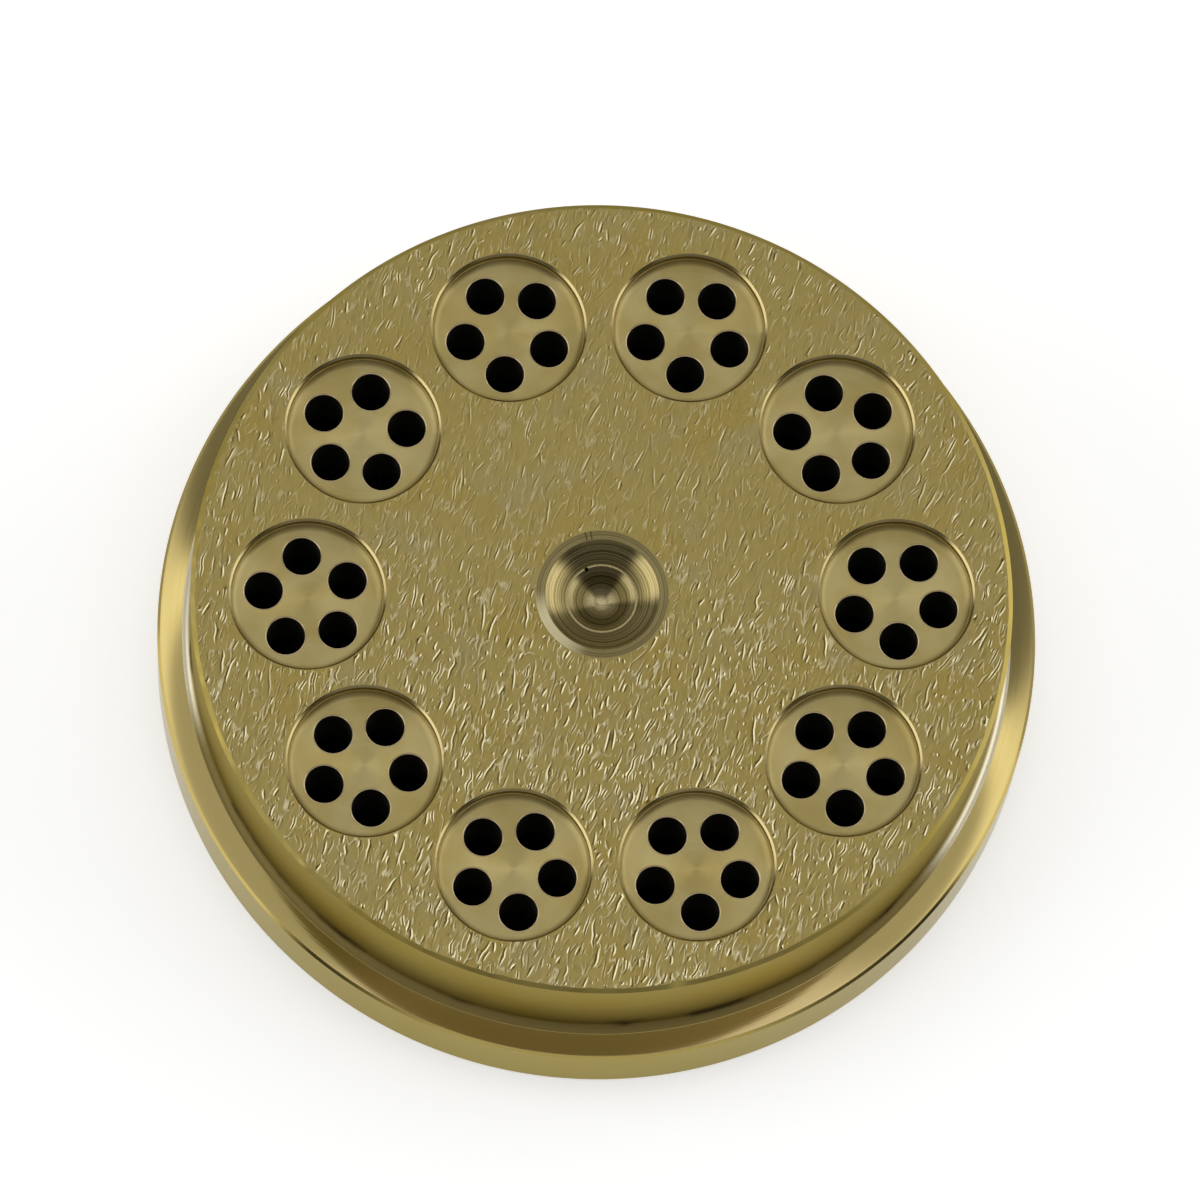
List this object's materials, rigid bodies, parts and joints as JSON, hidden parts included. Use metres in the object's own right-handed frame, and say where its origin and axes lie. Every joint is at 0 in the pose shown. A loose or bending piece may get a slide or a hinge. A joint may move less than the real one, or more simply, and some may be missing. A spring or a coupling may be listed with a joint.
{
  "type": "pasta extrusion die",
  "caption": "Round flanged brass die for tubular pasta: a ring of recessed perforated cores in the feed face, a dished centre for the feed screw and ring-shaped outlets below.",
  "frame": {"origin": "centre of the outlet face, on the die's axis", "axes": "+Z along the die's axis towards the feed face, +X through the axis of core_01"},
  "size_m": [0.08, 0.08, 0.02],
  "materials": {
    "body_brass": "feed face streaked with short rough scores, walls and flange fine turned",
    "core_brass": "fine turned, with concentric tool marks"
  },
  "bodies": {
    "root": {"die_body": "body_brass", "core_01": "core_brass", "core_02": "core_brass", "core_03": "core_brass", "core_04": "core_brass", "core_05": "core_brass", "core_06": "core_brass", "core_07": "core_brass", "core_08": "core_brass", "core_09": "core_brass", "core_10": "core_brass"}
  },
  "joints": []
}
